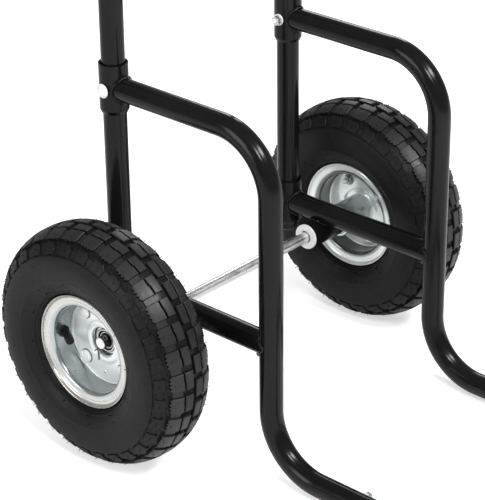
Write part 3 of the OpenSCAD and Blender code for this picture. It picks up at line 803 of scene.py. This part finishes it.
def raiseBlock(bm, outline, lay, shift, top, bevel):
    # a flat outline, cut into cells and raised to a block with bevelled edges and a worn top
    old = set(bm.verts)
    worn = bm.verts.layers.float["worn"]
    bottom = -tyre["grooveDepth"] - tyre["rooted"]
    face = bm.faces.new([bm.verts.new((along + shift, across, bottom)) for along, across in outline])
    face.normal_update()
    if face.normal.z < 0:
        face.normal_flip()
    for direction, step in enumerate(tyre["cells"]):
        reach = [v.co[direction] for v in bm.verts if v not in old]
        count = max(1, round((max(reach) - min(reach)) / step))
        for i in range(1, count):
            point, normal = Vector(), Vector()
            point[direction] = min(reach) + (max(reach) - min(reach)) * i / count
            normal[direction] = 1
            geom = touching(bm, [v for v in bm.verts if v not in old])
            bmesh.ops.bisect_plane(bm, geom=geom, dist=1e-4, plane_co=point, plane_no=normal)
    raised = bmesh.ops.extrude_face_region(bm, geom=[f for f in bm.faces if f.verts[0] not in old])
    topVerts = [v for v in raised["geom"] if isinstance(v, bmesh.types.BMVert)]
    topFaces = {f for f in raised["geom"] if isinstance(f, bmesh.types.BMFace)}
    middle = sum((v.co for v in topVerts), Vector()) / len(topVerts)
    drawn = (tyre["drawnIn"], tyre["drawnIn"], 1)
    bmesh.ops.scale(bm, vec=drawn, space=Matrix.Translation(-middle), verts=topVerts)
    bmesh.ops.translate(bm, vec=(0, 0, top - bottom), verts=topVerts)
    for vert in topVerts:
        fade = (tyre["shoulder"] - vert.co.y) / tyre["wearFade"]
        vert[worn] = (1 + top / tyre["grooveDepth"]) * max(tyre["leastWear"], min(1, fade))
    rim = {e for f in topFaces for e in f.edges if sum(g in topFaces for g in e.link_faces) == 1}
    bmesh.ops.bevel(bm, geom=list(rim), offset=bevel, offset_type="OFFSET", segments=1, profile=0.5,
                    affect="EDGES", material=-1, clamp_overlap=True)
    bmesh.ops.scale(bm, vec=(1, lay, 1), verts=[v for v in bm.verts if v not in old])
    if max(across for along, across in outline) < tyre["shoulder"]:
        for face in bm.faces:
            if face.verts[0] not in old:
                face.material_index = 1     # the tread's finish


def raisePip(bm, along, across, radius, height, lay):
    root = tyre["pipRoot"]
    made = bmesh.ops.create_cone(bm, cap_ends=True, segments=tyre["pipSides"], radius1=radius,
                                 radius2=radius * tyre["pipTaper"], depth=height + root)
    lift = skinHeight(across) + (height - root) / 2
    bmesh.ops.translate(bm, vec=(along, lay * across, lift), verts=made["verts"])


def wrapOnCasing(verts):
    # from (along, across, height) on a flat tread to a place on the round tyre
    for vert in verts:
        radius, across = onSection(vert.co.y, vert.co.z)
        turn = vert.co.x / pitchLength * 2 * math.pi / tyre["pitches"]
        vert.co = Vector((across, radius * math.sin(turn), radius * math.cos(turn)))


def repeatRound(bm, verts, count):
    bmesh.ops.spin(bm, geom=touching(bm, verts), cent=(0, 0, 0), axis=(-1, 0, 0), steps=count - 1,
                   angle=2 * math.pi * (count - 1) / count, use_duplicate=True)


def makeTyre(side):
    bm = bmesh.new()
    bm.verts.layers.float.new("worn")
    spinRing(bm, casingOutline(), tyre["pitches"] * tyre["ringStepsPerPitch"])
    old = set(bm.verts)
    for lay, shift in ((1, 0.0), (-1, pitchLength / 2)):
        for outline, top, bevel in tyre["blocks"]:
            raiseBlock(bm, outline, lay, shift, top, bevel)
        for along, across, radius, height in tyre["pips"]:
            raisePip(bm, along + shift, across, radius, height, lay)
    pitch = [v for v in bm.verts if v not in old]
    wrapOnCasing(pitch)
    repeatRound(bm, pitch, tyre["pitches"])
    old = set(bm.verts)
    for lay in (1, -1):
        for along, across, radius, height in tyre["wallPips"]:
            raisePip(bm, along, across, radius, height, lay)
    pips = [v for v in bm.verts if v not in old]
    wrapOnCasing(pips)
    repeatRound(bm, pips, tyre["wallTurns"])
    middleTurn = tyre["blockMiddle"] / pitchLength * 360 / tyre["pitches"]
    mountOnAxle(bm, side, tyre["treadTurn"][side] - 90 + middleTurn)
    print(side, "tyre:", len(bm.faces), "faces")
    name, replaced = side + "_treaded_tyre", [side + "_tyre"]
    piece = finishPiece(bm, name, side + "_wheel", "tyre", replaced, 34)
    piece.data.materials.append(finishes["tread"])


for side in sides:
    makeTyre(side)
print("tyres moulded")


rim = {
    "steps": 144,
    # where the two halves meet, from the wheel's middle, and how far each stays off that place
    "joint": -3.0,
    "jointGap": 0.02,
    "sheet": 2.0,
    "hub": 18.45,
    "barrel": 48.4,
    "flange": 24.5,
    # radii and heights over the disc's face: the outer half's curl over the hub's end, and its arc
    "hubCurl": [(18.45, -0.95), (16.3, -0.95), (16.25, -0.5)],
    "hubArc": ((18.6, -0.7), 2.35),
    "hubCrest": [(20.5, 1.75), (22.0, 1.6)],
    # the inner half's plain seat on the hub
    "hubSeat": [(18.45, -1.3), (21.5, -1.3), (22.2, -1.1)],
    # the disc from the boss out to the ridge at the fold
    "disc": [(23.4, 1.0), (24.6, 0.35), (25.8, 0.06), (27.0, 0), (45.6, 0), (46.1, 0.5), (46.8, 0.55)],
    # the fold's radius on the dish side and on the tyre side, and how far inside the barrel that is centred
    "fold": 1.3,
    "rearFold": 3.0,
    "rearFoldIn": 1.5,
    # radii against the barrel and heights against the flange of the small step there
    "barrelStep": [(0, -4.0), (-0.25, -3.7), (-0.2, -3.0)],
    # the bend from the barrel to the flange: middle against the flange, and radius on the dish side
    "bend": (52.6, -3.0),
    "bendRadius": 4.0,
    "flangeGroove": [(55.2, 1.0), (55.5, 0.7), (56.4, 0.7), (56.8, 1.0)],
    "rearFlange": [(53.0, -1.0)],
    # the rolled lip: its middle, its radius on the dish side, and its edge's heights against the middle
    "lipMiddle": (58.0, 28.5),
    "lipRadius": 3.0,
    "lipEdge": [(61.2, 0.2), (61.9, 0.8), (62.7, 0.5)],
    "boltCircle": 37.0,
    "boltTurns": (45, 135, 225, 315),
    "boltHole": 3.3,
    "ventTurn": -90,
    "ventHole": 1.7,
    # the pressed ring round the vent hole: radii and heights over the disc's face
    "ventRing": [(1.8, -0.3), (2.0, 0.45), (2.7, 0.45), (3.6, -0.3)],
    "valveHole": 5.5,
    "valvePlace": (10.5, 49, 0),
    # how long the drills for the disc and for the valve are
    "discDrill": 20,
    "valveDrill": 12,
    "drillSteps": 28,
    "ventSteps": 24,
}


def standing(points, level, sign, radius=0):
    # outline points whose heights are given over a level, and turned over for the inner half
    return [(radius + out, level + sign * height) for out, height in points]


def rimOutline(sign):
    # the dish side from the hub out to the rolled lip, then back along the tyre side
    face = rim["joint"] + sign * rim["sheet"]
    back = rim["joint"] + sign * rim["jointGap"]
    top = sign * rim["flange"]
    lip = (rim["lipMiddle"][0], sign * rim["lipMiddle"][1])
    barrel, fold, rearFold = rim["barrel"], rim["fold"], rim["rearFold"]
    bend = (rim["bend"][0], top + sign * rim["bend"][1])
    if sign > 0:
        (curlRadius, curlHeight), curl = rim["hubArc"]
        dish = standing(rim["hubCurl"], face, 1) + arc((curlRadius, face + curlHeight), curl, 178, 95, 7)
        dish += standing(rim["hubCrest"], face, 1)
    else:
        dish = standing(rim["hubSeat"], face, 1)
    dish += standing(rim["disc"], face, sign)
    dish += arc((barrel - fold, face + sign * fold), fold, sign * -60, sign * -4, 4)
    dish += standing(rim["barrelStep"], top, sign, barrel)
    dish += arc(bend, rim["bendRadius"], 180, 180 - sign * 88, 6)
    dish += standing(rim["flangeGroove"], top, sign)
    dish += arc(lip, rim["lipRadius"], sign * -78, sign * -12, 6)
    dish += standing(rim["lipEdge"], lip[1], sign)
    rear = arc(lip, rim["lipRadius"] + rim["sheet"], sign * 2, sign * -80, 7)
    rear += standing(rim["rearFlange"], top, sign)
    rear += arc(bend, rim["bendRadius"] - rim["sheet"], 180 - sign * 90, 180, 4)
    rear += [(barrel + rim["sheet"], back + sign * rearFold)]
    rear += arc((barrel - rim["rearFoldIn"], back + sign * rearFold), rearFold, sign * -4, sign * -90, 4)
    return dish + rear + [(rim["hub"], back)]


def withHoles(bm, drills):
    # the mesh less the drills' mesh
    body, tool = meshObject(bm, "blank"), meshObject(drills, "drills")
    cut = body.modifiers.new("holes", "BOOLEAN")
    cut.operation = "DIFFERENCE"
    cut.solver = "MANIFOLD"
    cut.object = tool
    mesh = bpy.data.meshes.new_from_object(body.evaluated_get(bpy.context.evaluated_depsgraph_get()))
    for used in (body, tool):
        bpy.data.objects.remove(used)
    drilled = bmesh.new()
    drilled.from_mesh(mesh)
    return drilled


def drill(bm, radius, length, middle, turned):
    made = bmesh.ops.create_cone(bm, cap_ends=True, segments=rim["drillSteps"], radius1=radius,
                                 radius2=radius, depth=length)
    bmesh.ops.rotate(bm, cent=(0, 0, 0), matrix=turned, verts=made["verts"])
    bmesh.ops.translate(bm, vec=middle, verts=made["verts"])


def makeRim(side, name, sign):
    bm = bmesh.new()
    spinRing(bm, rimOutline(sign), rim["steps"])
    bmesh.ops.remove_doubles(bm, verts=bm.verts, dist=1e-4)
    bmesh.ops.recalc_face_normals(bm, faces=bm.faces)
    drills = bmesh.new()
    onDisc = Matrix.Rotation(math.radians(90), 3, "Y")
    vent = polar(rim["boltCircle"], rim["ventTurn"])
    holes = [(rim["boltHole"], polar(rim["boltCircle"], turn)) for turn in rim["boltTurns"]]
    for radius, place in holes + [(rim["ventHole"], vent)]:
        drill(drills, radius, rim["discDrill"], (rim["joint"], *place), onDisc)
    if sign > 0:
        onBarrel = Matrix.Rotation(math.radians(-90), 3, "X")
        drill(drills, rim["valveHole"], rim["valveDrill"], rim["valvePlace"], onBarrel)
    bm = withHoles(bm, drills)
    face = rim["joint"] + sign * rim["sheet"]
    spinRing(bm, standing(rim["ventRing"], face, sign), rim["ventSteps"], vent)
    mountOnAxle(bm, side, cart["phase"][side])
    piece, finish = side + "_rim_pressing_" + name, side + name.capitalize() + "Zinc"
    finishPiece(bm, piece, side + "_wheel", finish, [side + "_rim_" + name], 24)


for side in sides:
    makeRim(side, "outer", 1)
    makeRim(side, "inner", -1)
print("rims pressed")


bearing = {
    "outerFace": -5.0,
    "innerFace": -49.5,
    "width": 10.0,
    "steps": 96,
    # from the inner race's edge out to the hub: radius and height above the races' faces
    "shield": [(9.25, -1.2), (9.25, -0.3), (9.6, -0.1), (10.6, -0.1), (11.0, 0.6), (11.3, 1.1), (11.8, 1.1),
               (11.95, 0.6), (12.1, 0.9), (12.55, 0.9), (12.8, 0.3), (13.4, -0.1), (14.7, 0.0), (14.9, 0.35),
               (15.2, 0.35), (15.9, 0.2), (15.9, -0.05), (13.55, -0.05), (13.45, -1.2)],
}


def makeShields(side):
    bm = bmesh.new()
    first, last = bearing["outerFace"], bearing["innerFace"]
    width = bearing["width"]
    for face, out in ((first, 1), (first - width, -1), (last + width, 1), (last, -1)):
        spinRing(bm, standing(bearing["shield"], face, out), bearing["steps"])
    mountOnAxle(bm, side, 0)
    name, replaced = side + "_bearing_shields", [side + "_bearing_seals"]
    finishPiece(bm, name, side + "_wheel", "bearingFace", replaced, 40)


for side in sides:
    makeShields(side)
print("bearing shields fitted")


bolts = {
    "steps": 36,
    "domeSteps": 8,
    # height of the head's edge, and below it the underside: radii against the head's, and heights
    "edge": 1.45,
    "under": [(-0.05, 1.25), (-0.35, 1.05), (-1.9, 1.0)],
    # how far inside the edge the head's foot starts, and how far it is sunk in its seat
    "footIn": 2.0,
    "sunk": 0.02,
    # how long the step from the smooth shank to the thread's root is, and the bevel at the tip
    "step": 0.4,
    "tipBevel": 0.7,
    "tipRadius": 1.9,
    # the ridge's half widths at root and crest are shares of the pitch; it starts past the smooth shank,
    # is shorter than the rest of the shank, and is sunk in the root
    "thread": {"pitch": 1.0, "root": 2.55, "crest": 3.0, "steps": 20, "halfWidths": (0.45, 0.08),
               "start": 0.6, "shorter": 1.6, "sunk": 0.02},
    # head radius and height, length under the head, smooth part of the shank
    "rim": (7.0, 2.7, 14.0, 3.0),
    "sleeve": (7.75, 4.6, 40.5, 12.0),
    "toe": (6.5, 3.8, 34.5, 12.0),
}


def drawBolt(bm, kind, at):
    # a domed bolt along x with its head outboard, its seat at the place given in mm
    radius, height, length, smooth = bolts[kind]
    old = set(bm.verts)
    thread, edge, sunk = bolts["thread"], bolts["edge"], bolts["sunk"]
    root, crest, pitch, steps = thread["root"], thread["crest"], thread["pitch"], thread["steps"]
    domeRadius = (radius ** 2 + (height - edge) ** 2) / (2 * (height - edge))
    outline = [(0, height)]
    for i in range(1, bolts["domeSteps"] + 1):
        turn = math.asin(radius / domeRadius) * i / bolts["domeSteps"]
        outline.append((domeRadius * math.sin(turn), height - domeRadius + domeRadius * math.cos(turn)))
    outline += standing(bolts["under"], 0, 1, radius)
    outline += [(radius - bolts["footIn"], -sunk), (crest, -sunk), (crest, -smooth)]
    outline += [(root, -smooth - bolts["step"]), (root, bolts["tipBevel"] - length)]
    outline += [(bolts["tipRadius"], -length), (0, -length)]
    spinRing(bm, outline, bolts["steps"])
    foot, (wide, narrow) = root - thread["sunk"], thread["halfWidths"]
    ridge = [(foot, -wide), (foot, wide), (crest, narrow), (crest, -narrow)]
    made = [bm.verts.new((place * pitch - smooth - thread["start"], 0, radius)) for radius, place in ridge]
    edges = [bm.edges.new(pair) for pair in zip(made, made[1:] + made[:1])]
    turns = (length - smooth - thread["shorter"]) / pitch
    count = round(turns * steps)
    wound = bmesh.ops.spin(bm, geom=made + edges, cent=(0, 0, 0), axis=(1, 0, 0), steps=count,
                           angle=2 * math.pi * count / steps, dvec=(-pitch / steps, 0, 0))
    bm.faces.new(made)
    bm.faces.new([v for v in wound["geom_last"] if isinstance(v, bmesh.types.BMVert)])
    bmesh.ops.translate(bm, vec=at, verts=[v for v in bm.verts if v not in old])


def makeFrameBolts(name, kind, replaced, places):
    # the right side's bolts at the places in metres, and their mirror images on the left
    bm = bmesh.new()
    for place in places:
        drawBolt(bm, kind, tuple(1000 * value for value in place))
    mirrored = bmesh.ops.duplicate(bm, geom=bm.verts[:] + bm.edges[:] + bm.faces[:])["geom"]
    bmesh.ops.scale(bm, vec=(-1, 1, 1), verts=[v for v in mirrored if isinstance(v, bmesh.types.BMVert)])
    mountAt(bm, 1, 0, (0, 0, 0))
    finishPiece(bm, name, "frame", "boltZinc", [replaced], 35)


nut = {
    "across": 10.0,
    "height": 5.0,
    "bore": 3.05,
    "boreChamfer": 0.5,
    # heights of the chamfers at the outer face and at the foot
    "chamfer": 0.9,
    "footChamfer": 0.7,
    "foot": 4.7,
    "footHeight": 0.45,
    "steps": 48,
    # how far each nut has come round, from one to the next, in degrees
    "turn": 17,
    "firstTurn": 8,
}


def drawNut(bm, at, turn):
    # a chamfered hexagon nut along x on a round foot, its seat at the place given in mm, facing inboard
    old = set(bm.verts)
    flat, bore = nut["across"] / 2, nut["bore"]
    corner = flat / math.cos(math.radians(30))
    top, foot = -nut["height"], -nut["footHeight"]
    rows = [(bore, top + nut["boreChamfer"]), (bore + nut["boreChamfer"], top), (flat, top),
            (corner, top + nut["chamfer"]), (corner, foot - nut["footChamfer"]), (flat, foot),
            (nut["foot"], foot), (nut["foot"], 0), (bore, 0)]
    spinRing(bm, rows, nut["steps"])
    fresh = [v for v in bm.verts if v not in old]
    for face in range(6):
        middle = Vector((0, *polar(flat, 60 * face)))
        outward = middle.normalized()
        for vert in fresh:
            over = (vert.co - middle).dot(outward)
            if over > 0:
                vert.co -= outward * over
    bmesh.ops.rotate(bm, cent=(0, 0, 0), matrix=Matrix.Rotation(math.radians(turn), 3, "X"), verts=fresh)
    bmesh.ops.translate(bm, vec=at, verts=fresh)


def makeRimNuts(side):
    bm = bmesh.new()
    for number, turn in enumerate(rim["boltTurns"]):
        place = (rim["joint"] - rim["sheet"], *polar(rim["boltCircle"], turn))
        drawNut(bm, place, nut["turn"] * number + nut["firstTurn"])
    mountOnAxle(bm, side, cart["phase"][side])
    finishPiece(bm, side + "_rim_hex_nuts", side + "_wheel", "nutZinc", [side + "_rim_nuts"], 20)


def makeRimScrews(side):
    bm = bmesh.new()
    for turn in rim["boltTurns"]:
        drawBolt(bm, "rim", (rim["joint"] + rim["sheet"], *polar(rim["boltCircle"], turn)))
    mountOnAxle(bm, side, cart["phase"][side])
    finishPiece(bm, side + "_rim_screws", side + "_wheel", "boltZinc", [side + "_rim_bolts"], 35)


for side in sides:
    makeRimNuts(side)
for side in sides:
    makeRimScrews(side)
sleeveSide = cart["frameX"] + cart["sleeveRadius"]
toeSide = cart["frameX"] + cart["tubeRadius"]
makeFrameBolts("sleeve_screws", "sleeve", "sleeve_bolts",
               [(sleeveSide, cart["uprightY"], cart["armZ"]), (sleeveSide, cart["uprightY"], cart["braceZ"])])
makeFrameBolts("toe_screws", "toe", "toe_bolts", [(toeSide, cart["toeBoltY"], cart["toeZ"])])
print("bolts threaded")


weld = {
    "bead": 1.85,
    # how far in mm the bead's middle lies over the tubes' skin
    "proud": 0.3,
    "ripple": 0.09,
    "ripplePitch": 2.4,
    # points along each ripple, and the fewest ripples round a bead
    "ripplePoints": 4,
    "leastRipples": 8,
    # how much the bead's thickness wanders, in slow waves of (share, rate, start)
    "wander": 0.13,
    "waves": [(1, 0.37, 0), (0.7, 0.11, 2), (0.5, 0.83, 0)],
    # where a run of bead starts or stops: place along the loop, how much thicker, how long
    "lumps": [(0.22, 0.75, 0.035), (0.31, 0.35, 0.02), (0.70, 0.6, 0.04)],
}


def saddle(tubeRadius, postRadius, count=90):
    # where a tube along y meets an upright post: points from the post's middle
    points = []
    for i in range(count):
        turn = 2 * math.pi * i / count
        x = tubeRadius * math.cos(turn)
        points.append(Vector((x, math.sqrt(max(postRadius ** 2 - x ** 2, 0)), tubeRadius * math.sin(turn))))
    return points


def crossing(braceRadius, tubeRadius, apart, count=70):
    # where a brace along y rests in a tube along x below it: points from the tube's middle
    widest = math.acos((apart - tubeRadius) / braceRadius)
    points = []
    for i in range(count):
        turn = 2 * math.pi * (i + 0.5) / count
        lean = widest * math.sin(turn)
        up = apart - braceRadius * math.cos(lean)
        y = math.copysign(math.sqrt(max(tubeRadius ** 2 - up ** 2, 0)), math.cos(turn))
        points.append(Vector((braceRadius * math.sin(lean), y, up)))
    return points


def layBead(loops, name):
    # a rippled bead along each closed loop
    curve = bpy.data.curves.new(name, "CURVE")
    curve.dimensions = "3D"
    curve.bevel_depth = 0.001 * weld["bead"]
    curve.bevel_resolution = 2
    for points in loops:
        length = sum((b - a).length for a, b in zip(points, points[1:] + points[:1]))
        ripples = max(weld["leastRipples"], round(length / (0.001 * weld["ripplePitch"])))
        count = weld["ripplePoints"] * ripples
        spline = curve.splines.new("POLY")
        spline.points.add(count - 1)
        spline.use_cyclic_u = True
        for i, point in enumerate(spline.points):
            place = i / count * len(points)
            low, high = points[int(place)], points[(int(place) + 1) % len(points)]
            point.co = (*low.lerp(high, place % 1), 1)
            waves = sum(share * math.sin(i * rate + start) for share, rate, start in weld["waves"])
            ripple = math.cos(2 * math.pi * i / weld["ripplePoints"])
            point.radius = 1 + weld["ripple"] * ripple + weld["wander"] * waves
            for where, thicker, long in weld["lumps"]:
                point.radius += thicker * math.exp(-((i / count - where) / long) ** 2)
    line = addObject(name + "_line", curve)
    mesh = bpy.data.meshes.new_from_object(line.evaluated_get(bpy.context.evaluated_depsgraph_get()))
    bpy.data.objects.remove(line)
    bm = bmesh.new()
    bm.from_mesh(mesh)
    bmesh.ops.remove_doubles(bm, verts=bm.verts, dist=1e-6)
    bmesh.ops.recalc_face_normals(bm, faces=bm.faces)
    finishPiece(bm, name, "frame", "paint", (), 60)


def makeWelds():
    proud = 0.001 * weld["proud"]
    tube, sleeve = cart["tubeRadius"] + proud, cart["sleeveRadius"] + proud
    axleTube = cart["axleTubeRadius"] + proud
    apart = cart["braceZ"] - cart["axleZ"]
    for side, sign in sides.items():
        x = sign * cart["frameX"]
        upright = Vector((x, cart["uprightY"], 0))
        front = Vector((x, cart["frontY"], 0))
        middle = Vector((x, cart["axleY"], cart["axleZ"]))
        arm = [upright + Vector((p.x, -p.y, p.z + cart["armZ"])) for p in saddle(tube, sleeve)]
        brace = [upright + Vector((p.x, -p.y, p.z + cart["braceZ"])) for p in saddle(tube, sleeve)]
        end = [front + Vector((p.x, p.y, p.z + cart["braceZ"])) for p in saddle(tube, tube)]
        cross = [middle + p for p in crossing(tube, axleTube, apart)]
        layBead([arm], side + "_arm_weld")
        layBead([brace, end], side + "_brace_welds")
        layBead([cross], side + "_axle_tube_weld")


makeWelds()
print("welds laid")


nodeFinish = {
    "paint": ["side_tube", "brace", "upper_sleeve", "lower_sleeve", "axle_tube", "handle_bow", "toe_bow"],
    "hubZinc": ["hub"],
    "nutZinc": ["sleeve_nuts", "toe_nuts"],
    "washerZinc": ["axle_washers", "sleeve_washers", "toe_washers", "hub_spacers"],
    "axleSteel": ["axle"],
    "pinSteel": ["cotter_pins"],
    "ballSteel": ["outer_races", "balls"],
    "bearingFace": ["inner_races"],
    "tyre": ["inner_tube"],
    "rubber": ["valve_stem", "valve_cap"],
    "plastic": ["toe_glides", "leg_plugs", "axle_tube_bushes"],
    "foam": ["handle_grip"],
}
for finish, parts in nodeFinish.items():
    for name, node in nodes.items():
        if name.replace("left_", "").replace("right_", "") in parts:
            node.data.materials.clear()
            node.data.materials.append(finishes[finish])
print("frame solids finished")
